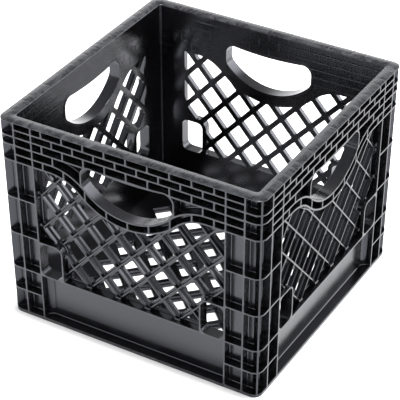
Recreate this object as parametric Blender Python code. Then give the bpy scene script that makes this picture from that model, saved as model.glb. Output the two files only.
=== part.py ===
"""A square milk crate with hand holes, brick-pattern ribs and see-through lattice walls.

The real crate is one rigid moulding of black polyethylene. Each object here is a named
region of that moulding: rim rails, handle grips, curved handle bands, lattices, skirts,
corner posts, base flanges and the floor grid. Metres, +Z up, origin at the middle of the
underside, front wall towards -Y.

One wall is modelled facing -Y in wall coordinates: u runs along the wall, z runs up, and
depth runs inwards from the plane of the rib edges. It is then turned to the other sides.
"""

from math import asin, cos, degrees, hypot, pi, radians, sin, sqrt

import bmesh
import bpy

MM = 0.001

# Overall size
WIDTH = 326 * MM
HEIGHT = 258 * MM
DRAFT = 0.018  # how much narrower the crate is at its base than at its rim

# Wall section, measured inwards from the plane of the rib edges
RIB_PLANE = WIDTH / 2  # the rim is flush with the rib edges
SKIN_DEPTH = 12 * MM
POST_SKIN_DEPTH = 10.2 * MM  # the corners' pockets are a little shallower than the panels'
WALL_DEPTH = 14.2 * MM
LATTICE_RECESS = 5.5 * MM
RIB = 2 * MM
GAP = 0.3 * MM  # clearance between neighbouring regions
OVERCUT = 2 * MM  # how far a cutter runs past the face that it cuts

# Upright ribs, as distances from the middle of the wall
INNER_UPRIGHT = 119.5 * MM
OUTER_UPRIGHT = 141.8 * MM
CORNER_RADIUS = 11 * MM
PANEL_EDGE = INNER_UPRIGHT - RIB / 2 - GAP

# Heights of the horizontal ribs
RIM_UNDERSIDE = 256 * MM
BRICK_ROWS = [247.9 * MM, 238.7 * MM, 228.1 * MM, 217.2 * MM, 207.6 * MM]
LADDER_ROWS = [158.8 * MM, 110.8 * MM, 63.9 * MM, 33.6 * MM]
BASE_FLANGE = 4 * MM
BRICK_PITCH = 26.5 * MM

# Hand hole and the double rib that swings under it
HOLE_HALF_WIDTH = 56.5 * MM
HOLE_CORNER = 11 * MM
HOLE_SAG = 2.7 * MM
SAG_STEP = 15 * MM  # between the points along the hole's upper edge
GRIP_SPLIT = BRICK_ROWS[2] - RIB / 2
GRIP_DROP = 1.5 * MM  # how far the grip's underside hangs below that row at the middle of the hole
HOLE_TOP = GRIP_SPLIT - GRIP_DROP
BAND_GAP = BRICK_ROWS[3] - BRICK_ROWS[4]
SHOULDER_U = 97 * MM
SHOULDER_RADIUS = 62 * MM
SWING_RADIUS = 74.4 * MM
SHOULDER_Z = BRICK_ROWS[3] - SHOULDER_RADIUS
SWING_Z = SHOULDER_Z + sqrt((SWING_RADIUS + SHOULDER_RADIUS) ** 2 - SHOULDER_U**2)

# Lattice
HALF_PITCH_U = 19.2 * MM
HALF_PITCH_Z = 21.1 * MM
LATTICE_NODE_Z = 63.6 * MM  # height of the node row that the bottom rib hides
UPPER_LATTICE_START = 22 * MM  # the lattice beside the hand hole begins this far from the middle
SIDE_BAR_DROP = 1.5 * MM  # the recessed face reaches this far below the lowest side bars
LATTICE_CHAMFER = 3.5 * MM  # takes off the tip of a bar that belongs to the upper lattice
LATTICE_BOTTOM = LADDER_ROWS[2] + RIB / 2
SMALLEST_CELL = 4 * MM * MM  # a smaller opening is left solid

# Small framed window beside each inner upright
WINDOW_INNER = 90 * MM
WINDOW_TOP = 107.5 * MM
WINDOW_RADIUS = 7 * MM

# Floor, a plate of diagonal bars between square openings turned by 45 degrees
FLOOR_BOTTOM = 1 * MM
FLOOR_TOP = 6.5 * MM
FLOOR_PITCH = 21.5 * MM  # from a row of openings to the next, which is staggered by the same
FLOOR_REACH = 5  # rows of openings on each side of the middle
FLOOR_OPENING = 14 * MM  # half the diagonal of an opening

SIDES = ["front", "right", "back", "left"]
CORNERS = ["front_right", "back_right", "back_left", "front_left"]


def clear_scene():
    for obj in list(bpy.data.objects):
        bpy.data.objects.remove(obj, do_unlink=True)


def black_polyethylene(name, grey, roughness):
    material = bpy.data.materials.new(name)
    material.use_nodes = True
    shader = material.node_tree.nodes["Principled BSDF"]
    shader.inputs["Base Color"].default_value = (grey, grey, grey * 1.06, 1)
    shader.inputs["Roughness"].default_value = roughness
    shader.inputs["Metallic"].default_value = 0.0
    return material


# Outlines


def band_z(u, offset):
    """Height, at u from the middle, of the curve that lies offset below the upper swinging rib."""
    u = abs(u)
    swing = SWING_RADIUS + offset
    shoulder = SHOULDER_RADIUS - offset
    if u <= SHOULDER_U * swing / (SWING_RADIUS + SHOULDER_RADIUS):
        return SWING_Z - sqrt(swing**2 - u**2)
    if u < SHOULDER_U:
        return SHOULDER_Z + sqrt(shoulder**2 - (SHOULDER_U - u) ** 2)
    return SHOULDER_Z + shoulder


def band_points(start, end, offset, step=8 * MM):
    """Points along that curve from start to end."""
    count = max(1, round(abs(end - start) / step))
    places = [start + (end - start) * i / count for i in range(count + 1)]
    return [(u, band_z(u, offset)) for u in places]


def arc(centre, radius, start, end, count):
    """Points on an arc, with its angles in degrees."""
    angles = [radians(start + (end - start) * i / count) for i in range(count + 1)]
    return [(centre[0] + radius * cos(a), centre[1] + radius * sin(a)) for a in angles]


def mirrored(outline):
    return [(-u, z) for u, z in reversed(outline)]


def grip_edge(u):
    """Height of the underside of the grip, which sags in the middle."""
    return HOLE_TOP + HOLE_SAG * (u / (HOLE_HALF_WIDTH - HOLE_CORNER)) ** 2


def hole_corner(low, count):
    """The hand hole's upper right corner, from the height low to its top."""
    u = HOLE_HALF_WIDTH - HOLE_CORNER
    z = grip_edge(u) - HOLE_CORNER
    return arc((u, z), HOLE_CORNER, degrees(asin((low - z) / HOLE_CORNER)), 90, count)


def rounded_rectangle(u0, z0, u1, z1, radius, count=3):
    corners = [(u1, z1, 0), (u0, z1, 90), (u0, z0, 180), (u1, z0, 270)]
    points = []
    for u, z, turn in corners:
        inward_u = -1 if u == u1 else 1
        inward_z = -1 if z == z1 else 1
        centre = (u + inward_u * radius, z + inward_z * radius)
        points += arc(centre, radius, turn, turn + 90, count)
    return points


def diamond(u, z, inset):
    """A lattice cell about (u, z) whose sides lie inset from the middles of its bars."""
    slope = hypot(HALF_PITCH_U, HALF_PITCH_Z)
    across = HALF_PITCH_U - inset * slope / HALF_PITCH_Z
    up = HALF_PITCH_Z - inset * slope / HALF_PITCH_U
    return [(u + across, z), (u, z + up), (u - across, z), (u, z - up)]


def clipped(outline, window):
    """The part of an outline inside a convex anticlockwise window."""
    for i, (au, az) in enumerate(window):
        bu, bz = window[(i + 1) % len(window)]
        sides = [(bu - au) * (z - az) - (bz - az) * (u - au) for u, z in outline]
        kept = []
        for j, point in enumerate(outline):
            before, last = sides[j - 1], outline[j - 1]
            if (before > 0) != (sides[j] > 0):
                share = before / (before - sides[j])
                kept.append(tuple(p + share * (q - p) for p, q in zip(last, point)))
            if sides[j] > 0:
                kept.append(point)
        outline = kept
    return outline


def area(outline):
    pairs = zip(outline, outline[1:] + outline[:1])
    return sum(a[0] * b[1] - b[0] * a[1] for a, b in pairs) / 2


# Solids


def add_prism(mesh, near, far):
    """Adds the closed solid between two outlines with as many points, each a list of 3-D points."""
    near = [mesh.verts.new(point) for point in near]
    far = [mesh.verts.new(point) for point in far]
    mesh.faces.new(near)
    mesh.faces.new(far[::-1])
    for i in range(len(near)):
        mesh.faces.new([near[i - 1], near[i], far[i], far[i - 1]][::-1])


def new_object(name, mesh):
    bmesh.ops.recalc_face_normals(mesh, faces=mesh.faces)
    data = bpy.data.meshes.new(name)
    mesh.to_mesh(data)
    mesh.free()
    obj = bpy.data.objects.new(name, data)
    bpy.context.scene.collection.objects.link(obj)
    return obj


def wall_solid(name, outlines, shallow, deep):
    """Solids extruded into the wall from outlines in (u, z), between two depths."""
    mesh = bmesh.new()
    for outline in outlines:
        near = [(u, shallow - RIB_PLANE, z) for u, z in outline]
        far = [(u, deep - RIB_PLANE, z) for u, z in outline]
        add_prism(mesh, near, far)
    return new_object(name, mesh)


def plan_solid(name, pieces):
    """Solids extruded upwards from outlines in (x, y), each given with its two heights."""
    mesh = bmesh.new()
    for outline, low, high in pieces:
        near = [(x, y, low) for x, y in outline]
        far = [(x, y, high) for x, y in outline]
        add_prism(mesh, near, far)
    return new_object(name, mesh)


def cut(obj, cutter):
    cutter.hide_render = True
    cutter.display_type = "WIRE"
    modifier = obj.modifiers.new("cut_" + cutter.name, "BOOLEAN")
    modifier.operation = "DIFFERENCE"
    modifier.object = cutter


def shaped_mesh(obj, cutters):
    """The object's cut mesh with the wall's draft put in. The object and its cutters are removed."""
    for cutter in cutters:
        cut(obj, cutter)
    graph = bpy.context.evaluated_depsgraph_get()
    data = bpy.data.meshes.new_from_object(obj.evaluated_get(graph))
    for vertex in data.vertices:
        scale = 1 - DRAFT * (1 - vertex.co.z / HEIGHT)
        vertex.co.x *= scale
        vertex.co.y *= scale
    data.name = obj.name
    for used in [obj] + cutters:
        bpy.data.objects.remove(used, do_unlink=True)
    return data


def place(name, data, turns, material):
    """A copy of a mesh, turned by quarter turns about the crate's axis."""
    obj = bpy.data.objects.new(name, data)
    obj.rotation_euler.z = turns * pi / 2
    bpy.context.scene.collection.objects.link(obj)
    if not data.materials:
        data.materials.append(material)


def place_on_sides(part, data, material):
    for turns, side in enumerate(SIDES):
        place(side + "_" + part, data, turns, material)


# Regions of the moulding


def rim_rail():
    """One side of the rim, mitred at both ends, with a corner rounded to the crate's own."""
    outer = WIDTH / 2
    inner = RIB_PLANE - WALL_DEPTH
    centre = outer - CORNER_RADIUS
    half_arc = [(x, -y) for x, y in arc((centre, centre), CORNER_RADIUS, 90, 45, 3)]
    right_end = [(x - GAP / 2, y) for x, y in half_arc] + [(inner - GAP / 2, -inner)]
    outline = [(-x, y) for x, y in reversed(right_end)] + right_end
    return plan_solid("rim_rail", [(outline, RIM_UNDERSIDE, HEIGHT)])


def brick_pockets(low, high, joints):
    """Pockets of one course of bricks between two heights, with an upright rib at each joint."""
    edges = [-PANEL_EDGE - OVERCUT] + joints + [PANEL_EDGE + OVERCUT]
    pockets = []
    for a, b in zip(edges, edges[1:]):
        left, right = a + RIB / 2, b - RIB / 2
        pockets.append([(left, low(a)), (right, low(b)), (right, high), (left, high)])
    return pockets


def joints_at(first, count):
    return [first + BRICK_PITCH * i for i in range(count)]


EVEN_JOINTS = joints_at(-4 * BRICK_PITCH, 9)
ODD_JOINTS = joints_at(-3.5 * BRICK_PITCH, 8)


def grip_rib_top(u):
    """Top of the rib over the hand hole, which runs level beside the hole."""
    if abs(u) < HOLE_HALF_WIDTH:
        return max(grip_edge(u), GRIP_SPLIT) + RIB
    return BRICK_ROWS[2] + RIB / 2


def handle_grip():
    """The bar over the hand hole, with three courses of brick ribs on a solid skin."""
    right = [(PANEL_EDGE, RIM_UNDERSIDE - GAP), (PANEL_EDGE, GRIP_SPLIT)]
    right += hole_corner(GRIP_SPLIT, 2)
    sag = [(i * SAG_STEP, grip_edge(i * SAG_STEP)) for i in (2, 1, 0, -1, -2)]
    grip = wall_solid("grip", [right + sag + mirrored(right)], 0, WALL_DEPTH)
    upper, middle = BRICK_ROWS[0], BRICK_ROWS[1]
    pockets = brick_pockets(lambda u: upper + RIB / 2, HEIGHT, EVEN_JOINTS)
    pockets += brick_pockets(lambda u: middle + RIB / 2, upper - RIB / 2, ODD_JOINTS)
    pockets += brick_pockets(grip_rib_top, middle - RIB / 2, EVEN_JOINTS)
    return grip, [wall_solid("grip_pockets", pockets, -OVERCUT, SKIN_DEPTH)]


def handle_band():
    """The curved double rib that runs from upright to upright under the hand hole."""
    top = GRIP_SPLIT - GAP
    corner = hole_corner(top, 3)[:1] + hole_corner(BRICK_ROWS[3], 3)[-2::-1]
    corner = [point for point in corner if point[1] <= top]
    under = band_points(-PANEL_EDGE, PANEL_EDGE, BAND_GAP + RIB / 2)
    shelf = band_points(HOLE_HALF_WIDTH, -HOLE_HALF_WIDTH, -RIB / 2, 7 * MM)
    outline = [(-PANEL_EDGE, top)] + under + [(PANEL_EDGE, top)] + corner + shelf + mirrored(corner)
    band = wall_solid("band", [outline], 0, WALL_DEPTH)
    pockets = []
    end = PANEL_EDGE + OVERCUT
    for a, b in zip([-end] + EVEN_JOINTS, EVEN_JOINTS + [end]):
        upper = band_points(b - RIB / 2, a + RIB / 2, RIB / 2, 9 * MM)
        lower = band_points(a + RIB / 2, b - RIB / 2, BAND_GAP - RIB / 2, 9 * MM)
        pockets.append(upper + lower)
    joint = ODD_JOINTS[-1]
    for a, b in ((HOLE_HALF_WIDTH + RIB, joint - RIB / 2), (joint + RIB / 2, end)):
        pocket = band_points(a, b, -RIB / 2) + [(b, top + OVERCUT), (a, top + OVERCUT)]
        pockets += [pocket, mirrored(pocket)]
    return band, [wall_solid("band_pockets", pockets, -OVERCUT, SKIN_DEPTH)]


def lowest_bar(u, offset):
    """Height of the lattice bar over a small window, offset downwards across the bar."""
    slope = HALF_PITCH_Z / HALF_PITCH_U
    return LATTICE_NODE_Z + 2 * HALF_PITCH_Z + slope * (u - 5 * HALF_PITCH_U) - offset * hypot(1, slope)


def lattice_boundary(border, drop):
    """Outline of the open lattice: border below the curved band and drop below the lowest side bars."""
    side = INNER_UPRIGHT - RIB / 2
    top = band_points(side, -side, BAND_GAP + RIB / 2 + border, 6 * MM)
    window_side = WINDOW_INNER - RIB
    window_top = WINDOW_TOP + RIB
    node = 5 * HALF_PITCH_U
    foot = node + (window_top - lowest_bar(node, drop)) * HALF_PITCH_U / HALF_PITCH_Z
    right = [(window_side, LATTICE_BOTTOM), (window_side, window_top), (foot, window_top)]
    right.append((side, lowest_bar(side, drop)))
    return right + top + mirrored(right)


def lattice_cells():
    """All the lattice's open cells, cut off at its frames."""
    boundary = lattice_boundary(RIB, 0)
    cells = []
    for row in range(-1, 8):
        for column in range(-7, 8):
            if (row + column) % 2:
                continue
            window = diamond(column * HALF_PITCH_U, LATTICE_NODE_Z + row * HALF_PITCH_Z, RIB / 2)
            cell = clipped(boundary, window)
            if len(cell) > 2 and abs(area(cell)) > SMALLEST_CELL:
                cells.append(cell)
    return cells


def lattice_cutters(name):
    """Cutters that leave the bars, set back from the rib edges."""
    face = wall_solid(name + "_face", [lattice_boundary(0, SIDE_BAR_DROP)], -OVERCUT, LATTICE_RECESS)
    cells = wall_solid(name + "_cells", lattice_cells(), -OVERCUT, WALL_DEPTH + OVERCUT)
    return [face, cells]


def rectangle(u0, z0, u1, z1):
    return [(u0, z0), (u1, z0), (u1, z1), (u0, z1)]


LATTICE_SPLIT = band_z(0, BAND_GAP + RIB / 2) - GAP


def lower_lattice():
    """The lattice below the hand hole, with a framed window in each lower corner."""
    right = [(PANEL_EDGE, LATTICE_BOTTOM + GAP), (PANEL_EDGE, LATTICE_SPLIT - LATTICE_CHAMFER)]
    right.append((PANEL_EDGE - LATTICE_CHAMFER, LATTICE_SPLIT))
    lattice = wall_solid("lower_lattice", [right + mirrored(right)], 0, WALL_DEPTH)
    end = PANEL_EDGE + OVERCUT
    low = LATTICE_BOTTOM - OVERCUT - WINDOW_RADIUS
    window = rounded_rectangle(WINDOW_INNER, low, end + WINDOW_RADIUS, WINDOW_TOP, WINDOW_RADIUS)
    frame_top = WINDOW_TOP + RIB
    corner_z = lowest_bar(end, RIB / 2)
    foot = end - (corner_z - frame_top) * HALF_PITCH_U / HALF_PITCH_Z
    corner = [(foot, frame_top), (end, frame_top), (end, corner_z)]
    cutters = lattice_cutters("lower")
    cutters.append(wall_solid("windows", [window, mirrored(window)], -OVERCUT, WALL_DEPTH + OVERCUT))
    cutters.append(wall_solid("corners", [corner, mirrored(corner)], -OVERCUT, SKIN_DEPTH))
    return lattice, cutters


def upper_lattice(side):
    """The lattice between the curved band and an upright, on one side of the hand hole."""
    start = UPPER_LATTICE_START
    top = band_points(PANEL_EDGE, start, BAND_GAP + RIB / 2 + GAP)
    outline = [(start, LATTICE_SPLIT + GAP), (PANEL_EDGE, LATTICE_SPLIT + GAP)] + top
    if side == "left":
        outline = mirrored(outline)
    lattice = wall_solid("upper_lattice_" + side, [outline], LATTICE_RECESS, WALL_DEPTH)
    return lattice, lattice_cutters("upper_" + side)


def skirt():
    """The solid panel under the lattice, from its top rib down to the base flange."""
    outline = rectangle(-PANEL_EDGE, 0, PANEL_EDGE, LATTICE_BOTTOM)
    pocket = rectangle(-PANEL_EDGE - OVERCUT, BASE_FLANGE, PANEL_EDGE + OVERCUT, LATTICE_BOTTOM - RIB)
    panel = wall_solid("skirt", [outline], 0, WALL_DEPTH)
    return panel, [wall_solid("skirt_pocket", [pocket], -OVERCUT, SKIN_DEPTH)]


def corner_post():
    """A corner of the crate, from inner upright to inner upright, with a rib on the arris."""
    near = INNER_UPRIGHT - RIB / 2
    inner = RIB_PLANE - WALL_DEPTH
    skin = RIB_PLANE - POST_SKIN_DEPTH
    centre = RIB_PLANE - CORNER_RADIUS
    rounded = [(x, -y) for x, y in arc((centre, centre), CORNER_RADIUS, 90, 0, 6)]
    outline = [(near, -inner), (near, -RIB_PLANE)] + rounded
    outline += [(RIB_PLANE, -near), (inner, -near), (inner, -inner)]
    post = plan_solid("post", [(outline, 0, RIM_UNDERSIDE - GAP)])
    past = RIB_PLANE + OVERCUT
    arris = RIB / 2 * sqrt(2)
    wide = [(INNER_UPRIGHT + RIB / 2, -past), (OUTER_UPRIGHT - RIB / 2, -past)]
    wide += [(OUTER_UPRIGHT - RIB / 2, -skin), (INNER_UPRIGHT + RIB / 2, -skin)]
    narrow = [(OUTER_UPRIGHT + RIB / 2, -past), (past - arris, -past)]
    narrow += [(skin - arris, -skin), (OUTER_UPRIGHT + RIB / 2, -skin)]
    wide_rows = [0] + LADDER_ROWS[::-1] + BRICK_ROWS[::-1] + [HEIGHT]
    narrow_rows = [0] + LADDER_ROWS[::-1] + [BRICK_ROWS[4], BRICK_ROWS[2], BRICK_ROWS[1], HEIGHT]
    pockets = []
    for column, rows in ((wide, wide_rows), (narrow, narrow_rows)):
        for low, high in zip(rows, rows[1:]):
            bottom = low + RIB / 2 if low else BASE_FLANGE
            turned = [(-y, -x) for x, y in column]
            pockets += [(column, bottom, high - RIB / 2), (turned, bottom, high - RIB / 2)]
    return post, [plan_solid("post_pockets", pockets)]


def floor_grid():
    """The open lattice of the floor, inside the walls."""
    half = RIB_PLANE - WALL_DEPTH - GAP
    square = rectangle(-half, -half, half, half)
    plate = plan_solid("floor_grid", [(square, FLOOR_BOTTOM, FLOOR_TOP)])
    rows = range(-FLOOR_REACH, FLOOR_REACH + 1)
    corners = [(FLOOR_OPENING, 0), (0, FLOOR_OPENING), (-FLOOR_OPENING, 0), (0, -FLOOR_OPENING)]
    openings = []
    for i in rows:
        for j in rows:
            if (i + j) % 2:
                opening = [(i * FLOOR_PITCH + x, j * FLOOR_PITCH + y) for x, y in corners]
                openings.append((opening, FLOOR_BOTTOM - OVERCUT, FLOOR_TOP + OVERCUT))
    return plate, [plan_solid("floor_openings", openings)]


def main():
    clear_scene()
    rim = black_polyethylene("worn_rim", 0.045, 0.5)
    grip = black_polyethylene("grip", 0.022, 0.42)
    band = black_polyethylene("handle_band", 0.02, 0.4)
    lattice = black_polyethylene("lattice", 0.018, 0.42)
    skirt_panel = black_polyethylene("skirt", 0.02, 0.45)
    corner_posts = black_polyethylene("corner_posts", 0.018, 0.42)
    floor = black_polyethylene("floor", 0.016, 0.45)
    place_on_sides("rim_rail", shaped_mesh(rim_rail(), []), rim)
    place_on_sides("handle_grip", shaped_mesh(*handle_grip()), grip)
    place_on_sides("handle_band", shaped_mesh(*handle_band()), band)
    place_on_sides("lower_lattice", shaped_mesh(*lower_lattice()), lattice)
    for side in ("left", "right"):
        place_on_sides("upper_lattice_" + side, shaped_mesh(*upper_lattice(side)), lattice)
    place_on_sides("skirt", shaped_mesh(*skirt()), skirt_panel)
    post = shaped_mesh(*corner_post())
    for turns, corner in enumerate(CORNERS):
        place(corner + "_post", post, turns, corner_posts)
    place("floor_grid", shaped_mesh(*floor_grid()), 0, floor)


main()
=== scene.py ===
"""Visual model of a square black milk crate: one polyethylene moulding, shown in named pieces.

One wall and one corner are cut from one solid blank in wall coordinates, where u runs along the
wall, z runs up and depth runs inwards from the plane of the rib edges. They are rounded, given
the moulding's draft and then turned to the four sides. Everything is in metres.
"""

from math import atan2, cos, degrees, hypot, pi, radians, sin, sqrt

import bmesh
import bpy
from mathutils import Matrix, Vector
from mathutils.geometry import delaunay_2d_cdt


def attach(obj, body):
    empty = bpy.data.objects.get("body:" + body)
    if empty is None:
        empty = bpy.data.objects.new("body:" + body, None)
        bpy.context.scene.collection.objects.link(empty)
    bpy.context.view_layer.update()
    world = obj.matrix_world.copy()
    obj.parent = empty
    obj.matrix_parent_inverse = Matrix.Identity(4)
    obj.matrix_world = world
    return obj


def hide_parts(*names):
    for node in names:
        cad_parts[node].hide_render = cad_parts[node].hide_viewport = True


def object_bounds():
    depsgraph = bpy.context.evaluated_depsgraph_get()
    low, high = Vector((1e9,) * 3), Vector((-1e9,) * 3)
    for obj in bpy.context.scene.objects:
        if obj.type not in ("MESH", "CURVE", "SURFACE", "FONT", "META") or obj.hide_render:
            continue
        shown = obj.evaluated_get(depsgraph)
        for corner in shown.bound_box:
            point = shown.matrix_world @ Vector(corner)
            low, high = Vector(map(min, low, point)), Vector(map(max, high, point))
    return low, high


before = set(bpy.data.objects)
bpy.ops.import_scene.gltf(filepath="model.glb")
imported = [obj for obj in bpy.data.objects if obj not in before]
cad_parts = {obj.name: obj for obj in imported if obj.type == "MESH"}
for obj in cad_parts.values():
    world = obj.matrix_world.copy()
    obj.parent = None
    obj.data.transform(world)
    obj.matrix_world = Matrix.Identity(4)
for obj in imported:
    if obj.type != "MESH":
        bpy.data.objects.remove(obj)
CAD_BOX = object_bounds()

MM = 0.001
SIDES = ["front", "right", "back", "left"]
CORNERS = ["front_right", "back_right", "back_left", "front_left"]

# Overall size, from the frame
WIDTH = CAD_BOX[1].x - CAD_BOX[0].x
HEIGHT = CAD_BOX[1].z
DRAFT = 0.018  # how much narrower the crate is at its base than at its rim

# Wall section, measured inwards from the plane of the rib edges
RIB_PLANE = WIDTH / 2
SKIN_DEPTH = 12 * MM
POST_SKIN_DEPTH = 10.2 * MM
STRIP_DEPTH = 10.5 * MM  # where the bars' thin webs end and their wider strips begin
WALL_DEPTH = 14.2 * MM
LATTICE_RECESS = 5.5 * MM
RIB = 2 * MM
OVERCUT = 4 * MM  # how far a cutter runs past the face that it cuts
INSIDE_RADIUS = 3 * MM  # of the crate's inner corners
CORNER_SPARE = 20 * MM  # how far the blank runs past where a corner is cut off

# Upright ribs, as distances from the middle of the wall
INNER_UPRIGHT = 119.5 * MM
OUTER_UPRIGHT = 141.8 * MM
CORNER_RADIUS = 11 * MM
PANEL_EDGE = INNER_UPRIGHT - RIB / 2

# Heights of the horizontal ribs
RIM_UNDERSIDE = 256 * MM
WALL_TOP = RIM_UNDERSIDE + 0.3 * MM  # just inside the rim
POCKET_TOP = RIM_UNDERSIDE + 0.5 * MM
BRICK_ROWS = [247.9 * MM, 238.7 * MM, 228.1 * MM, 217.2 * MM, 207.6 * MM]
LADDER_ROWS = [158.8 * MM, 110.8 * MM, 63.9 * MM, 33.6 * MM]
BASE_FLANGE = 4 * MM
BRICK_PITCH = 26.5 * MM
EVEN_JOINTS = [BRICK_PITCH * i for i in range(-4, 5)]
ODD_JOINTS = [BRICK_PITCH * (i - 3.5) for i in range(8)]
HOLE_REACH = 70 * MM  # bricks that start nearer the middle than this follow the hand hole
BRICK_STEPS = 5  # points along the lower edge of such a brick

# Hand hole and the double rib that swings under it
HOLE_HALF_WIDTH = 56.5 * MM
HOLE_CORNER = 11 * MM
HOLE_SAG = 2.7 * MM
HOLE_TOP = BRICK_ROWS[2] - RIB / 2 - 1.5 * MM  # at the middle, where the grip sags most
LIP_WIDTH = 2.5 * MM  # of the bead round the hole on the inner face
LIP_HEIGHT = 0.9 * MM
BAND_GAP = BRICK_ROWS[3] - BRICK_ROWS[4]
SHOULDER_U = 97 * MM
SHOULDER_RADIUS = 62 * MM
SWING_RADIUS = 74.4 * MM
SHOULDER_Z = BRICK_ROWS[3] - SHOULDER_RADIUS
SWING_Z = SHOULDER_Z + sqrt((SWING_RADIUS + SHOULDER_RADIUS) ** 2 - SHOULDER_U**2)

# Lattice
HALF_PITCH_U = 19.2 * MM
HALF_PITCH_Z = 21.1 * MM
LATTICE_NODE_Z = 63.6 * MM
WEB = 1.9 * MM  # thickness of each bar at its outer edge
STRIP = 6.5 * MM  # width of each bar where it joins the inner skin
SKIN_BORDER = 3.7 * MM
LATTICE_BOTTOM = LADDER_ROWS[2] + RIB / 2
SIDE_BAR_DROP = 1.5 * MM  # the recessed face reaches this far below the lowest side bars
SILL = 1.5 * MM  # height of the inner skin above the bottom rib
SMALLEST_CELL = 3 * MM * MM  # a smaller opening is left solid

# Small framed window beside each inner upright
WINDOW_INNER = 90 * MM
WINDOW_TOP = 107.5 * MM
WINDOW_RADIUS = 7.5 * MM

# Skirt
SKIRT_END_RADIUS = 8 * MM

# Rounding of the moulding's edges
EDGE_ROUND = 0.35 * MM
ROOT_FILLET = 1.5 * MM
SHARP = radians(25)  # the least turn of an edge that gets rounded
CREASE = radians(50)  # the least turn of an edge that is shaded sharp
ROOM_SHARE = 0.42  # how much of a neighbouring edge a rounding may use up
IN_LINE = -0.87  # cosine beyond which two edges are taken as one
MERGE = 0.02 * MM
FINE_MERGE = 0.003 * MM
WEAR_DEPTH = 0.8 * MM

# Floor: square openings set diagonally, in every other place of a square pattern
FLOOR_BOTTOM = 1 * MM
FLOOR_LEDGE = 3.2 * MM  # height of the step round each opening
FLOOR_TOP = 6.5 * MM
FLOOR_PITCH = 21.5 * MM  # from a row of openings to the next, which is staggered by the same
FLOOR_REACH = 5  # rows of openings on each side of the middle
FLOOR_OPENING = 14 * MM  # half of an opening's diagonal
FLOOR_STEP = 3 * MM  # width of that step
FLOOR_ROUND = 0.4 * MM
FLOOR_OVERLAP = 0.5 * MM  # how far the plate runs into the walls


# Outlines, as lists of (u, z)


def arc(centre, radius, start, end, count):
    """Points on an arc, with its angles in degrees."""
    angles = [radians(start + (end - start) * i / count) for i in range(count + 1)]
    return [(centre[0] + radius * cos(a), centre[1] + radius * sin(a)) for a in angles]


def mirrored(outline):
    return [(-u, z) for u, z in reversed(outline)]


def rectangle(u0, z0, u1, z1):
    return [(u0, z0), (u1, z0), (u1, z1), (u0, z1)]


def rounded_rectangle(u0, z0, u1, z1, radius, count=6):
    corners = [(u1, z1, 0), (u0, z1, 90), (u0, z0, 180), (u1, z0, 270)]
    points = []
    for u, z, turn in corners:
        centre = (u + (radius if u == u0 else -radius), z + (radius if z == z0 else -radius))
        points += arc(centre, radius, turn, turn + 90, count)
    return points


def band_z(u, offset):
    """Height of the curve that lies offset below the upper swinging rib, u from the middle."""
    u = abs(u)
    swing = SWING_RADIUS + offset
    shoulder = SHOULDER_RADIUS - offset
    if u <= SHOULDER_U * swing / (SWING_RADIUS + SHOULDER_RADIUS):
        return SWING_Z - sqrt(swing**2 - u**2)
    if u < SHOULDER_U:
        return SHOULDER_Z + sqrt(shoulder**2 - (SHOULDER_U - u) ** 2)
    return SHOULDER_Z + shoulder


def band_points(start, end, offset, step=3 * MM):
    count = max(1, round(abs(end - start) / step))
    places = [start + (end - start) * i / count for i in range(count + 1)]
    return [(u, band_z(u, offset)) for u in places]


def grip_edge(u):
    """Height of the underside of the grip, which sags in the middle."""
    return HOLE_TOP + HOLE_SAG * min(1, (u / (HOLE_HALF_WIDTH - HOLE_CORNER)) ** 2)


def hole_outline(grow=0):
    """The hand hole, grown outwards by an offset."""
    flat = HOLE_HALF_WIDTH - HOLE_CORNER
    count = 16
    sag = [flat - 2 * flat * i / count for i in range(1, count)]
    top = [(u, grip_edge(u) + grow) for u in sag]
    # The lower corners are arcs that touch both the side and the swinging rib
    bow = SWING_RADIUS - RIB / 2
    low_z = SWING_Z - sqrt((bow - HOLE_CORNER) ** 2 - flat**2)
    turn = degrees(atan2(low_z - SWING_Z, flat))
    right = arc((flat, low_z), HOLE_CORNER + grow, turn, 0, 6)
    right += arc((flat, grip_edge(flat) - HOLE_CORNER), HOLE_CORNER + grow, 0, 90, 10)
    bottom = arc((0, SWING_Z), bow + grow, -180 - turn, turn, 30)
    return right + top + mirrored(right) + bottom[1:-1]


def diamond(u, z, inset):
    """A lattice cell about (u, z) whose sides lie inset from the middles of its bars."""
    slope = hypot(HALF_PITCH_U, HALF_PITCH_Z)
    across = HALF_PITCH_U - inset * slope / HALF_PITCH_Z
    up = HALF_PITCH_Z - inset * slope / HALF_PITCH_U
    return [(u + across, z), (u, z + up), (u - across, z), (u, z - up)]


def clipped(outline, window):
    """The part of an outline inside a convex anticlockwise window."""
    for i, (au, az) in enumerate(window):
        bu, bz = window[(i + 1) % len(window)]
        sides = [(bu - au) * (z - az) - (bz - az) * (u - au) for u, z in outline]
        kept = []
        for j, point in enumerate(outline):
            before, last = sides[j - 1], outline[j - 1]
            if (before > 0) != (sides[j] > 0):
                share = before / (before - sides[j])
                kept.append(tuple(p + share * (q - p) for p, q in zip(last, point)))
            if sides[j] > 0:
                kept.append(point)
        outline = kept
    return outline


def area(outline):
    pairs = zip(outline, outline[1:] + outline[:1])
    return sum(a[0] * b[1] - b[0] * a[1] for a, b in pairs) / 2


def lowest_bar(u, offset):
    """Height of the lattice bar over a small window, offset downwards across the bar."""
    slope = HALF_PITCH_Z / HALF_PITCH_U
    node_z = LATTICE_NODE_Z + 2 * HALF_PITCH_Z
    return node_z + slope * (u - 5 * HALF_PITCH_U) - offset * hypot(1, slope)


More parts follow.
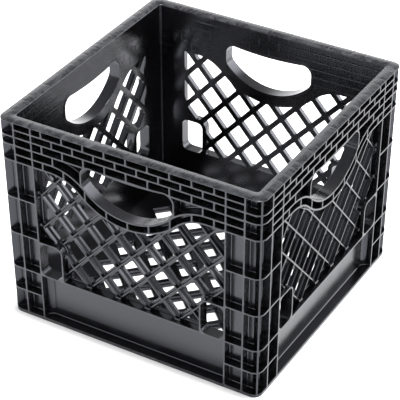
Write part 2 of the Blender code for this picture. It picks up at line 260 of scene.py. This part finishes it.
def lattice_boundary(border, drop, bottom):
    """Outline of the open lattice, border inside its frames and drop below its side bars."""
    side = PANEL_EDGE - border
    top = band_points(side, -side, BAND_GAP + RIB / 2 + border)
    window_side = WINDOW_INNER - RIB - border
    window_top = WINDOW_TOP + RIB
    radius = WINDOW_RADIUS + RIB + border
    node = 5 * HALF_PITCH_U
    foot = node + (window_top + border - lowest_bar(node, drop)) * HALF_PITCH_U / HALF_PITCH_Z
    frame_arc = arc((WINDOW_INNER + WINDOW_RADIUS, WINDOW_TOP - WINDOW_RADIUS), radius, 180, 90, 6)
    right = [(window_side, bottom)] + frame_arc + [(foot, window_top + border)]
    right.append((side, lowest_bar(side, drop)))
    return right + top + mirrored(right)


def lattice_cells(boundary, inset):
    """All the lattice's cells, cut off at its boundary."""
    cells = []
    for row in range(-1, 8):
        for column in range(-7, 8):
            if (row + column) % 2:
                continue
            window = diamond(column * HALF_PITCH_U, LATTICE_NODE_Z + row * HALF_PITCH_Z, inset)
            cell = clipped(boundary, window)
            if len(cell) > 2 and abs(area(cell)) > SMALLEST_CELL:
                cells.append(cell)
    return cells


# Solids


def add_prism(mesh, near, far):
    """Adds the closed solid between two outlines with as many points, each a list of 3-D points."""
    near = [mesh.verts.new(point) for point in near]
    far = [mesh.verts.new(point) for point in far]
    mesh.faces.new(near)
    mesh.faces.new(far[::-1])
    for i in range(len(near)):
        mesh.faces.new([near[i - 1], near[i], far[i], far[i - 1]][::-1])


def new_object(name, mesh):
    bmesh.ops.recalc_face_normals(mesh, faces=mesh.faces)
    data = bpy.data.meshes.new(name)
    mesh.to_mesh(data)
    mesh.free()
    obj = bpy.data.objects.new(name, data)
    bpy.context.scene.collection.objects.link(obj)
    return obj


def wall_solid(name, outlines, shallow, deep):
    """Solids extruded into the front wall from outlines in (u, z), between two depths."""
    mesh = bmesh.new()
    for outline in outlines:
        near = [(u, shallow - RIB_PLANE, z) for u, z in outline]
        far = [(u, deep - RIB_PLANE, z) for u, z in outline]
        add_prism(mesh, near, far)
    return new_object(name, mesh)


def plan_solid(name, pieces):
    """Solids extruded upwards from outlines in (x, y), each given with its two heights."""
    mesh = bmesh.new()
    for outline, low, high in pieces:
        near = [(x, y, low) for x, y in outline]
        far = [(x, y, high) for x, y in outline]
        add_prism(mesh, near, far)
    return new_object(name, mesh)


def combined(base, steps):
    """The base's mesh after a list of (operation, other object). All the objects are removed."""
    for operation, other in steps:
        modifier = base.modifiers.new(other.name, "BOOLEAN")
        modifier.operation = operation
        modifier.object = other
    graph = bpy.context.evaluated_depsgraph_get()
    data = bpy.data.meshes.new_from_object(base.evaluated_get(graph))
    for used in [base] + [other for _, other in steps]:
        bpy.data.objects.remove(used, do_unlink=True)
    return data


# The front wall with the corners at both its ends


def wall_blank():
    """A solid wall that turns round the corner at both ends, before anything is cut from it."""
    outer = RIB_PLANE
    inner = RIB_PLANE - WALL_DEPTH
    end = -INNER_UPRIGHT + CORNER_SPARE
    centre = outer - CORNER_RADIUS
    inner_centre = inner - INSIDE_RADIUS
    outside = arc((centre, centre), CORNER_RADIUS, 90, 0, 10)
    inside = arc((inner_centre, inner_centre), INSIDE_RADIUS, 0, 90, 4)
    outline = [(x, -y) for x, y in outside] + [(outer, end), (inner, end)]
    outline += [(x, -y) for x, y in inside]
    outline += [(-x, y) for x, y in reversed(outline)]
    return plan_solid("wall", [(outline, 0, WALL_TOP)])


def course(low, high, joints):
    """Pockets of one course of bricks, whose lower edges follow the function low."""
    edges = [-INNER_UPRIGHT] + joints + [INNER_UPRIGHT]
    pockets = []
    for a, b in zip(edges, edges[1:]):
        start, end = a + RIB / 2, b - RIB / 2
        count = BRICK_STEPS if abs(start) < HOLE_REACH else 1
        bottom = [start + (end - start) * i / count for i in range(count + 1)]
        pockets.append([(u, low(u)) for u in bottom] + [(end, high), (start, high)])
    return pockets


def hole_top(u):
    """Height of the hand hole's upper edge, which turns down at its corners."""
    flat = HOLE_HALF_WIDTH - HOLE_CORNER
    over = max(0, abs(u) - flat)
    if over > HOLE_CORNER:
        return 0
    return grip_edge(u) - HOLE_CORNER + sqrt(HOLE_CORNER**2 - over**2)


def grip_pockets():
    rows = BRICK_ROWS
    pockets = course(lambda u: rows[0] + RIB / 2, POCKET_TOP, EVEN_JOINTS)
    pockets += course(lambda u: rows[1] + RIB / 2, rows[0] - RIB / 2, ODD_JOINTS)
    low = rows[2] + RIB / 2
    return pockets + course(lambda u: max(low, hole_top(u) + RIB), rows[1] - RIB / 2, EVEN_JOINTS)


def shoulder_pockets():
    """The bricks between the hand hole and the uprights, over the swinging ribs."""
    joint = ODD_JOINTS[-1]
    top = BRICK_ROWS[2] - RIB / 2
    flat = HOLE_HALF_WIDTH - HOLE_CORNER
    corner_z = grip_edge(flat) - HOLE_CORNER
    around = arc((flat, corner_z), HOLE_CORNER + RIB, 0, 48, 5)
    around = [point for point in around if point[1] < top]
    beside = band_points(HOLE_HALF_WIDTH + RIB, joint - RIB / 2, -RIB / 2)
    beside += [(joint - RIB / 2, top), (around[-1][0] - 0.5 * MM, top)] + around[::-1]
    beyond = band_points(joint + RIB / 2, PANEL_EDGE, -RIB / 2)
    beyond += [(PANEL_EDGE, top), (joint + RIB / 2, top)]
    return [beside, mirrored(beside), beyond, mirrored(beyond)]


def band_pockets():
    pockets = []
    for a, b in zip([-INNER_UPRIGHT] + EVEN_JOINTS, EVEN_JOINTS + [INNER_UPRIGHT]):
        upper = band_points(b - RIB / 2, a + RIB / 2, RIB / 2)
        pockets.append(upper + band_points(a + RIB / 2, b - RIB / 2, BAND_GAP - RIB / 2))
    return pockets


def skirt_pocket():
    """The recess of the skirt, whose ends curve out into the uprights."""
    centre = (PANEL_EDGE - SKIRT_END_RADIUS, SKIN_DEPTH - RIB_PLANE - SKIRT_END_RADIUS)
    right = [(PANEL_EDGE, -RIB_PLANE - OVERCUT)] + arc(centre, SKIRT_END_RADIUS, 0, 90, 6)
    outline = right + [(-x, y) for x, y in reversed(right)]
    return plan_solid("skirt", [(outline, BASE_FLANGE, LATTICE_BOTTOM - RIB)])


def corner_pockets():
    """The pockets of both corners, as far as the inner upright of the neighbouring walls."""
    skin = RIB_PLANE - POST_SKIN_DEPTH
    past = RIB_PLANE + OVERCUT
    arris = RIB / 2 * sqrt(2)
    wide = [(INNER_UPRIGHT + RIB / 2, -past), (OUTER_UPRIGHT - RIB / 2, -past)]
    wide += [(OUTER_UPRIGHT - RIB / 2, -skin), (INNER_UPRIGHT + RIB / 2, -skin)]
    narrow = [(OUTER_UPRIGHT + RIB / 2, -past), (past - arris, -past)]
    narrow += [(skin - arris, -skin), (OUTER_UPRIGHT + RIB / 2, -skin)]
    rows = LADDER_ROWS[::-1] + BRICK_ROWS[::-1]
    narrow_rows = LADDER_ROWS[::-1] + [BRICK_ROWS[4], BRICK_ROWS[2], BRICK_ROWS[1]]
    pieces = []
    for column, ribs in ((wide, rows), (narrow, narrow_rows)):
        bottoms = [BASE_FLANGE] + [z + RIB / 2 for z in ribs]
        tops = [z - RIB / 2 for z in ribs] + [POCKET_TOP]
        turned = [(-y, -x) for x, y in column]
        for outline in (column, turned):
            opposite = [(-x, y) for x, y in reversed(outline)]
            for low, high in zip(bottoms, tops):
                pieces += [(outline, low, high), (opposite, low, high)]
    return plan_solid("corners", pieces)


def window_corners():
    """The shallow triangles between each window's frame and the lowest bar."""
    frame_top = WINDOW_TOP + RIB
    top = lowest_bar(PANEL_EDGE, WEB / 2)
    foot = PANEL_EDGE - (top - frame_top) * HALF_PITCH_U / HALF_PITCH_Z
    corner = [(foot, frame_top), (PANEL_EDGE, frame_top), (PANEL_EDGE, top)]
    return [corner, mirrored(corner)]


def cut_wall():
    """The wall and corners with every pocket, window and cell cut, still without draft."""
    through = WALL_DEPTH + OVERCUT
    face = lattice_boundary(0, SIDE_BAR_DROP, LATTICE_BOTTOM)
    web_cells = lattice_cells(lattice_boundary(0, 0, LATTICE_BOTTOM), WEB / 2)
    strip_edge = lattice_boundary(SKIN_BORDER, 0, LATTICE_BOTTOM + SILL)
    strip_cells = lattice_cells(strip_edge, STRIP / 2)
    window = (WINDOW_INNER, LATTICE_BOTTOM, PANEL_EDGE, WINDOW_TOP, WINDOW_RADIUS)
    window = rounded_rectangle(*window)
    windows = [window, mirrored(window)]
    bricks = grip_pockets() + shoulder_pockets() + band_pockets()
    lip = [hole_outline(LIP_WIDTH)]
    lip = wall_solid("lip", lip, SKIN_DEPTH + RIB / 2, WALL_DEPTH + LIP_HEIGHT)
    steps = [
        ("DIFFERENCE", wall_solid("bricks", bricks, -OVERCUT, SKIN_DEPTH)),
        ("DIFFERENCE", corner_pockets()),
        ("DIFFERENCE", skirt_pocket()),
        ("DIFFERENCE", wall_solid("face", [face], -OVERCUT, LATTICE_RECESS)),
        ("DIFFERENCE", wall_solid("webs", web_cells, -OVERCUT, STRIP_DEPTH)),
        ("DIFFERENCE", wall_solid("strips", strip_cells, -OVERCUT, through)),
        ("DIFFERENCE", wall_solid("windows", windows, -OVERCUT, through)),
        ("DIFFERENCE", wall_solid("window_corners", window_corners(), -OVERCUT, SKIN_DEPTH)),
        ("UNION", lip),
        ("DIFFERENCE", wall_solid("hole", [hole_outline()], -OVERCUT, through)),
    ]
    return combined(wall_blank(), steps)


def room_beside(edge):
    """The widest rounding of an edge that the edges across its ends leave room for."""
    room = ROOT_FILLET
    for vertex in edge.verts:
        along = (edge.other_vert(vertex).co - vertex.co).normalized()
        for other in vertex.link_edges:
            if other == edge:
                continue
            across = other.other_vert(vertex).co - vertex.co
            if across.normalized().dot(along) > IN_LINE:
                room = min(room, ROOM_SHARE * across.cross(along).length)
    return room


def rounded_edges(data):
    """The mesh with its outer edges rounded and its inner corners filleted."""
    mesh = bmesh.new()
    mesh.from_mesh(data)
    bmesh.ops.remove_doubles(mesh, verts=mesh.verts, dist=MERGE)
    weights = mesh.edges.layers.float.new("bevel_weight_edge")
    for edge in mesh.edges:
        if len(edge.link_faces) == 2 and edge.calc_face_angle() > SHARP:
            width = EDGE_ROUND if edge.is_convex else ROOT_FILLET
            edge[weights] = min(width, room_beside(edge)) / ROOT_FILLET
    obj = new_object("rounded", mesh)
    bevel = obj.modifiers.new("edges", "BEVEL")
    bevel.limit_method = "WEIGHT"
    bevel.width = ROOT_FILLET
    bevel.segments = 3
    bevel.use_clamp_overlap = False
    return combined(obj, [])


def triangulated(mesh):
    """Splits the large faces into triangles that follow their holes and notches."""
    for face in [face for face in mesh.faces if len(face.verts) > 4]:
        turn = face.normal.rotation_difference(Vector((0, 0, 1))).to_matrix()
        corners = list(face.verts)
        flat = [turn @ vertex.co / MM for vertex in corners]
        level = sum(point.z for point in flat) / len(flat)
        outline = [point.to_2d() for point in flat]
        found = delaunay_2d_cdt(outline, [], [range(len(flat))], 1, 1e-4)
        places = []
        for point, sources in zip(found[0], found[3]):
            if sources:
                places.append(corners[sources[0]])
            else:
                places.append(mesh.verts.new(Vector((point.x, point.y, level)) @ turn * MM))
        mesh.faces.remove(face)
        for triangle in found[2]:
            corners_used = [places[i] for i in triangle]
            if len(set(corners_used)) == 3 and not mesh.faces.get(corners_used):
                mesh.faces.new(corners_used)
    bmesh.ops.remove_doubles(mesh, verts=mesh.verts, dist=FINE_MERGE)
    bmesh.ops.triangulate(mesh, faces=mesh.faces)


def cut_off(mesh, point, normal):
    """Removes what lies beyond a plane."""
    geometry = mesh.verts[:] + mesh.edges[:] + mesh.faces[:]
    bmesh.ops.bisect_plane(mesh, geom=geometry, plane_co=point, plane_no=normal, clear_outer=True)


def exposure(x, y):
    """1 at the rib edges, falling to 0 within the pockets."""
    depth = RIB_PLANE - max(abs(x), abs(y))
    return max(0, min(1, 1 - depth / WEAR_DEPTH))


def inwardness(x, y):
    """1 on the inner face of the wall, 0 on the skin between the ribs."""
    depth = RIB_PLANE - max(abs(x), abs(y))
    return max(0, min(1, (depth - SKIN_DEPTH - 1 * MM) / (1 * MM)))


def region(data, name, planes):
    """The part of the mesh on the near side of some planes, with its draft put in."""
    mesh = bmesh.new()
    mesh.from_mesh(data)
    triangulated(mesh)
    for point, normal in planes:
        cut_off(mesh, point, normal)
    wear = mesh.verts.layers.float.new("wear")
    inner = mesh.verts.layers.float.new("inner")
    for vertex in mesh.verts:
        vertex[wear] = exposure(vertex.co.x, vertex.co.y)
        vertex[inner] = inwardness(vertex.co.x, vertex.co.y)
        scale = 1 - DRAFT * (1 - vertex.co.z / HEIGHT)
        vertex.co.x *= scale
        vertex.co.y *= scale
    for face in mesh.faces:
        face.smooth = True
    for edge in mesh.edges:
        edge.smooth = len(edge.link_faces) != 2 or edge.calc_face_angle(0) < CREASE
    part = bpy.data.meshes.new(name)
    mesh.to_mesh(part)
    mesh.free()
    return part


def place(name, data, turns, material, slot, nodes):
    """A piece of the object, turned by quarter turns, that stands for some CAD nodes."""
    obj = bpy.data.objects.new(name, data)
    obj.rotation_euler.z = turns * pi / 2
    bpy.context.scene.collection.objects.link(obj)
    if not data.materials:
        data.materials.append(material)
    normals = obj.modifiers.new("normals", "WEIGHTED_NORMAL")
    normals.keep_sharp = True
    bpy.context.view_layer.update()
    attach(obj, "root")
    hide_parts(*nodes)
    return obj


WALL_NODES = ["handle_grip", "handle_band", "lower_lattice"]
WALL_NODES += ["upper_lattice_left", "upper_lattice_right", "skirt"]


def add_walls(material):
    data = rounded_edges(cut_wall())
    right, left = (INNER_UPRIGHT, 0, 0), (-INNER_UPRIGHT, 0, 0)
    behind = ((0, -INNER_UPRIGHT, 0), (0, 1, 0))
    wall = region(data, "wall", [(right, (1, 0, 0)), (left, (-1, 0, 0)), behind])
    post = region(data, "post", [(right, (-1, 0, 0)), behind])
    for turns, side in enumerate(SIDES):
        nodes = [side + "_" + part for part in WALL_NODES]
        place(side + "_wall", wall, turns, material, "walls", nodes)
    for turns, corner in enumerate(CORNERS):
        place(corner + "_corner", post, turns, material, "walls", [corner + "_post"])


# Rim


RIM_CORNER = CORNER_RADIUS
RIM_INNER_CORNER = 4.5 * MM
RIM_INNER = RIB_PLANE - WALL_DEPTH - 0.15 * MM
# The rail's section: distance outwards from its inner face, and depth below its crown
RIM_SECTION = [(0, 2.0), (0.1, 1.55), (0.6, 1.1), (1.4, 0.75), (2.2, 0.6), (3.2, 0.48)]
RIM_SECTION += [(4.4, 0.25), (6, 0.06), (7.5, 0), (9, 0.06), (10.5, 0.2), (12, 0.45)]
RIM_SECTION += [(13.3, 0.75), (14, 0.85), (14.35, 1.15), (14.35, 2.0)]
RIM_PROFILE = [(RIM_INNER + out * MM, HEIGHT - down * MM) for out, down in RIM_SECTION]
RIM_STEPS = 240  # along one side
RIM_TURNS = 12  # round one corner
SINK_JOINTS = EVEN_JOINTS + [-OUTER_UPRIGHT, -INNER_UPRIGHT, INNER_UPRIGHT, OUTER_UPRIGHT]
SINK_DEPTH = 0.3 * MM
SINK_HALF_WIDTH = 2.2 * MM
SINK_LINE = RIB_PLANE - 5 * MM  # where the marks are deepest
SINK_REACH = 6 * MM
SINK_ZONE = HEIGHT - 1.5 * MM  # only the top of the rail has them


def rim_point(half, station, along, turn):
    """A place on the rounded square of this half width, and how far along its side it lies.

    On the straight, along runs from -1 to 1. On the corner, turn runs from 0 to 90.
    """
    share = (half - RIM_INNER) / (WIDTH / 2 - RIM_INNER)
    radius = RIM_INNER_CORNER + share * (RIM_CORNER - RIM_INNER_CORNER)
    straight = half - radius
    if turn is None:
        point = Vector((along * straight, -half, 0))
    else:
        angle = radians(turn - 90)
        point = Vector((straight + radius * cos(angle), -straight + radius * sin(angle), 0))
    a = station * pi / 2
    turned = (point.x * cos(a) - point.y * sin(a), point.x * sin(a) + point.y * cos(a), 0)
    return Vector(turned), point.x


def sink(u, half):
    """Depth of the sink marks over the brick ribs, near u along the side."""
    nearest = min(SINK_JOINTS, key=lambda joint: abs(joint - u))
    across = max(0, 1 - ((u - nearest) / SINK_HALF_WIDTH) ** 2)
    inward = max(0, 1 - ((half - SINK_LINE) / SINK_REACH) ** 2)
    return SINK_DEPTH * across**2 * inward


def add_rim(material):
    """The rim: one crowned rail that runs round the top, with a fine lip along its inner edge."""
    mesh = bmesh.new()
    stations = []
    for side in range(4):
        stations += [(side, -1 + 2 * i / RIM_STEPS, None) for i in range(RIM_STEPS)]
        stations += [(side, 0, 90 * i / RIM_TURNS) for i in range(RIM_TURNS)]
    rings = []
    for side, along, turn in stations:
        ring = []
        for half, z in RIM_PROFILE:
            point, u = rim_point(half, side, along, turn)
            dip = sink(u, half) if turn is None and z > SINK_ZONE else 0
            ring.append(mesh.verts.new((point.x, point.y, z - dip)))
        rings.append(ring)
    count = len(RIM_PROFILE)
    for a, b in zip(rings, rings[1:] + rings[:1]):
        for i in range(count):
            j = (i + 1) % count
            mesh.faces.new([a[i], a[j], b[j], b[i]])
    bmesh.ops.recalc_face_normals(mesh, faces=mesh.faces)
    for face in mesh.faces:
        face.smooth = True
    for edge in mesh.edges:
        edge.smooth = edge.calc_face_angle(0) < CREASE
    data = bpy.data.meshes.new("rim")
    mesh.to_mesh(data)
    mesh.free()
    place("rim", data, 0, material, "rim", [side + "_rim_rail" for side in SIDES])


# Floor


def floor_openings(half_diagonal, low, high):
    """A solid for each opening in the floor, all of one size."""
    pieces = []
    for i in range(-FLOOR_REACH, FLOOR_REACH + 1):
        for j in range(-FLOOR_REACH, FLOOR_REACH + 1):
            if (i + j) % 2:
                x, y = i * FLOOR_PITCH, j * FLOOR_PITCH
                corners = [(x + half_diagonal, y), (x, y + half_diagonal)]
                corners += [(x - half_diagonal, y), (x, y - half_diagonal)]
                pieces.append((corners, low, high))
    return plan_solid("openings", pieces)


def add_floor(material):
    half = (RIB_PLANE - WALL_DEPTH) * (1 - DRAFT) + FLOOR_OVERLAP
    square = rectangle(-half, -half, half, half)
    plate = plan_solid("plate", [(square, FLOOR_BOTTOM, FLOOR_TOP)])
    steps = floor_openings(FLOOR_OPENING + FLOOR_STEP, FLOOR_LEDGE, FLOOR_TOP + OVERCUT)
    through = floor_openings(FLOOR_OPENING, FLOOR_BOTTOM - OVERCUT, FLOOR_TOP + OVERCUT)
    data = combined(plate, [("DIFFERENCE", steps), ("DIFFERENCE", through)])
    mesh = bmesh.new()
    mesh.from_mesh(data)
    flat = radians(0.6)
    bmesh.ops.dissolve_limit(mesh, angle_limit=flat, verts=mesh.verts, edges=mesh.edges)
    rims = [edge for edge in mesh.edges if edge.calc_face_angle(0) > radians(60)]
    bmesh.ops.bevel(mesh, geom=rims, offset=FLOOR_ROUND, segments=2, profile=0.5, affect="EDGES")
    for face in mesh.faces:
        face.smooth = True
    for edge in mesh.edges:
        edge.smooth = edge.calc_face_angle(0) < CREASE
    part = bpy.data.meshes.new("floor")
    mesh.to_mesh(part)
    mesh.free()
    place("floor", part, 0, material, "floor", ["floor_grid"])


# Materials


class Nodes:
    """A short way to write shader nodes."""

    def __init__(self, name):
        self.material = bpy.data.materials.new(name)
        self.material.use_nodes = True
        self.tree = self.material.node_tree
        self.shader = self.tree.nodes["Principled BSDF"]

    def add(self, kind, inputs=(), **settings):
        node = self.tree.nodes.new("ShaderNode" + kind)
        for key, value in settings.items():
            setattr(node, key, value)
        for key, value in dict(inputs).items():
            self.set(node.inputs[key], value)
        return node

    def set(self, socket, value):
        if isinstance(value, bpy.types.NodeSocket):
            self.tree.links.new(value, socket)
        else:
            socket.default_value = value

    def math(self, operation, *values):
        return self.add("Math", dict(enumerate(values)), operation=operation).outputs[0]

    def noise(self, scale, detail, roughness=0.5, vector=None):
        vector = vector or self.add("TexCoord").outputs["Object"]
        inputs = {"Vector": vector, "Scale": scale, "Detail": detail, "Roughness": roughness}
        return self.add("TexNoise", inputs).outputs["Fac"]

    def ramp(self, value, low, high, low_out=0.0, high_out=1.0):
        inputs = {"Value": value, "From Min": low, "From Max": high}
        inputs |= {"To Min": low_out, "To Max": high_out}
        return self.add("MapRange", inputs).outputs[0]

    def stretched(self, scale):
        mapping = {"Vector": self.add("TexCoord").outputs["Object"], "Scale": scale}
        return self.add("Mapping", mapping).outputs[0]


def mix_colour(nodes, factor, a, b):
    mix = nodes.add("Mix", data_type="RGBA")
    nodes.set(mix.inputs["Factor"], factor)
    nodes.set(mix.inputs[6], a)
    nodes.set(mix.inputs[7], b)
    return mix.outputs[2]


COOL_SHEEN = (0.86, 0.88, 1, 1)
SCUFFING = 0.5
ROUGHNESS = 0.2
GHOST_DEPTH = 0.12 * MM
GHOST_ROW = 10.3 * MM


def brick_ghost(nodes):
    """Faint sink marks on the inner face, behind the brick ribs."""
    place = nodes.add("SeparateXYZ", {0: nodes.add("TexCoord").outputs["Object"]})
    across = nodes.math("ADD", place.outputs[0], place.outputs[1])
    along = nodes.math("ADD", across, RIB_PLANE - WALL_DEPTH)
    up = nodes.math("SUBTRACT", place.outputs[2], BRICK_ROWS[3] - 20 * GHOST_ROW)
    where = nodes.add("CombineXYZ", {0: along, 1: up}).outputs[0]
    inputs = {"Vector": where, "Scale": 1, "Mortar Size": 1.2 * MM, "Mortar Smooth": 1}
    inputs |= {"Brick Width": BRICK_PITCH, "Row Height": GHOST_ROW}
    bricks = nodes.add("TexBrick", inputs).outputs["Fac"]
    top = nodes.ramp(place.outputs[2], BRICK_ROWS[4] - 4 * MM, BRICK_ROWS[4])
    inner = nodes.add("Attribute", attribute_name="inner").outputs["Fac"]
    return nodes.math("MULTIPLY", nodes.math("MULTIPLY", bricks, top), inner)


def moulded_plastic(name, scuffing, roughness):
    """Black polyethylene: fine mould grain, cloudy sheen, and grey scuffs on exposed edges."""
    nodes = Nodes(name)
    cloud = nodes.noise(26, 3)
    wear = nodes.add("Attribute", attribute_name="wear").outputs["Fac"]
    patchy = nodes.ramp(nodes.noise(140, 4, 0.7), 0.38, 0.66)
    scuffs = nodes.math("MULTIPLY", nodes.math("MULTIPLY", wear, patchy), scuffing)
    black = (0.0008, 0.0008, 0.0009, 1)
    grey = (0.05, 0.05, 0.052, 1)
    nodes.set(nodes.shader.inputs["Base Color"], mix_colour(nodes, scuffs, black, grey))
    rough = nodes.ramp(cloud, 0.3, 0.7, roughness - 0.05, roughness + 0.05)
    rough = nodes.math("ADD", rough, nodes.math("MULTIPLY", scuffs, 0.12))
    nodes.set(nodes.shader.inputs["Roughness"], rough)
    nodes.set(nodes.shader.inputs["IOR"], 1.56)
    nodes.set(nodes.shader.inputs["Specular Tint"], COOL_SHEEN)
    grain = nodes.add("Bump", {"Height": nodes.noise(900, 2), "Strength": 0.12, "Distance": 0.0002})
    ghost = nodes.math("MULTIPLY", brick_ghost(nodes), -1)
    inputs = {"Height": ghost, "Strength": 0.5, "Distance": GHOST_DEPTH, "Normal": grain.outputs[0]}
    nodes.set(nodes.shader.inputs["Normal"], nodes.add("Bump", inputs).outputs[0])
    return nodes.material


def scuffed_rim(name):
    """The same plastic on the rim, dulled and scratched along its length by stacking."""
    nodes = Nodes(name)
    patches = nodes.ramp(nodes.noise(95, 5, 0.7), 0.44, 0.6)
    along_x = nodes.noise(90, 4, 0.7, nodes.stretched((0.12, 1, 1)))
    along_y = nodes.noise(90, 4, 0.7, nodes.stretched((1, 0.12, 1)))
    streaks = nodes.math("MAXIMUM", along_x, along_y)
    scratches = nodes.ramp(streaks, 0.6, 0.74)
    wear = nodes.math("ADD", nodes.math("MULTIPLY", patches, 0.45), scratches)
    wear = nodes.math("MINIMUM", wear, 1)
    black = (0.003, 0.003, 0.0032, 1)
    grey = (0.04, 0.041, 0.044, 1)
    nodes.set(nodes.shader.inputs["Base Color"], mix_colour(nodes, wear, black, grey))
    nodes.set(nodes.shader.inputs["Roughness"], nodes.ramp(wear, 0, 1, 0.26, 0.5))
    nodes.set(nodes.shader.inputs["IOR"], 1.5)
    nodes.set(nodes.shader.inputs["Specular Tint"], COOL_SHEEN)
    height = nodes.math("ADD", nodes.noise(300, 3, 0.6), nodes.math("MULTIPLY", scratches, -0.8))
    bump = nodes.add("Bump", {"Height": height, "Strength": 0.6, "Distance": 0.0004})
    nodes.set(nodes.shader.inputs["Normal"], bump.outputs[0])
    return nodes.material


# Stage


SKY_LOW = 3.0  # brightness of the sky near the horizon and overhead
SKY_HIGH = 0.6
SKY_FADE_START = sin(radians(15))
SKY_FADE_END = sin(radians(37))
SOFTBOX_TURN = radians(50)  # about the vertical, from +x
SOFTBOX_HEIGHT = radians(24)
SOFTBOX_DIRECTION = (
    cos(SOFTBOX_TURN) * cos(SOFTBOX_HEIGHT),
    sin(SOFTBOX_TURN) * cos(SOFTBOX_HEIGHT),
    sin(SOFTBOX_HEIGHT),
)
SOFTBOX_RADIUS = 17  # degrees
SOFTBOX_EDGE = 5
SOFTBOX_BRIGHTNESS = 4
LAMP_ENERGY = 5.5
LAMP_SPREAD = 6  # degrees across
LAMP_TILT = -2.5
LAMP_TURN = -35


def add_stage():
    mesh = bmesh.new()
    bmesh.ops.create_grid(mesh, x_segments=1, y_segments=1, size=12)
    floor = new_object("studio_floor", mesh)
    nodes = Nodes("studio_floor")
    nodes.set(nodes.shader.inputs["Base Color"], (0.93, 0.93, 0.93, 1))
    nodes.set(nodes.shader.inputs["Roughness"], 0.9)
    floor.data.materials.append(nodes.material)
    world = bpy.data.worlds.new("studio")
    world.use_nodes = True
    tree = world.node_tree
    background = tree.nodes["Background"]
    background.inputs["Strength"].default_value = 1
    direction = tree.nodes.new("ShaderNodeTexCoord")
    parts = tree.nodes.new("ShaderNodeSeparateXYZ")
    tree.links.new(direction.outputs["Generated"], parts.inputs[0])
    sky = tree.nodes.new("ShaderNodeMapRange")
    sky.interpolation_type = "SMOOTHSTEP"
    sky.inputs["From Min"].default_value = SKY_FADE_START
    sky.inputs["From Max"].default_value = SKY_FADE_END
    sky.inputs["To Min"].default_value = SKY_LOW
    sky.inputs["To Max"].default_value = SKY_HIGH
    tree.links.new(parts.outputs["Z"], sky.inputs["Value"])
    towards = tree.nodes.new("ShaderNodeVectorMath")
    towards.operation = "DOT_PRODUCT"
    towards.inputs[1].default_value = SOFTBOX_DIRECTION
    tree.links.new(direction.outputs["Generated"], towards.inputs[0])
    softbox = tree.nodes.new("ShaderNodeMapRange")
    softbox.interpolation_type = "SMOOTHSTEP"
    softbox.inputs["From Min"].default_value = cos(radians(SOFTBOX_RADIUS + SOFTBOX_EDGE))
    softbox.inputs["From Max"].default_value = cos(radians(SOFTBOX_RADIUS - SOFTBOX_EDGE))
    softbox.inputs["To Max"].default_value = SOFTBOX_BRIGHTNESS
    tree.links.new(towards.outputs["Value"], softbox.inputs["Value"])
    total = tree.nodes.new("ShaderNodeMath")
    tree.links.new(sky.outputs[0], total.inputs[0])
    tree.links.new(softbox.outputs[0], total.inputs[1])
    tree.links.new(total.outputs[0], background.inputs["Color"])
    bpy.context.scene.world = world
    lamp = bpy.data.lights.new("overhead", "SUN")
    lamp.energy = LAMP_ENERGY
    lamp.angle = radians(LAMP_SPREAD)
    light = bpy.data.objects.new("overhead", lamp)
    light.rotation_euler = (radians(LAMP_TILT), 0, radians(LAMP_TURN))
    bpy.context.scene.collection.objects.link(light)
    bpy.context.scene.view_settings.view_transform = "Standard"


CAMERA_PLACE = (0.8253, -1.4184, 1.2126)
CAMERA_TARGET = (0, -0.0099, 0.1175)
SENSOR_WIDTH = 36
CAMERA_LENS = 155.6


def add_camera():
    data = bpy.data.cameras.new("camera")
    data.sensor_width = SENSOR_WIDTH
    data.lens = CAMERA_LENS
    camera = bpy.data.objects.new("camera", data)
    camera.location = CAMERA_PLACE
    target = Vector(CAMERA_TARGET)
    camera.rotation_mode = "QUATERNION"
    camera.rotation_quaternion = (target - camera.location).to_track_quat("-Z", "Y")
    bpy.context.scene.collection.objects.link(camera)
    bpy.context.scene.camera = camera


plastic = moulded_plastic("moulded_polyethylene", SCUFFING, ROUGHNESS)
add_walls(plastic)
add_rim(scuffed_rim("scuffed_polyethylene"))
add_floor(plastic)
add_stage()
add_camera()
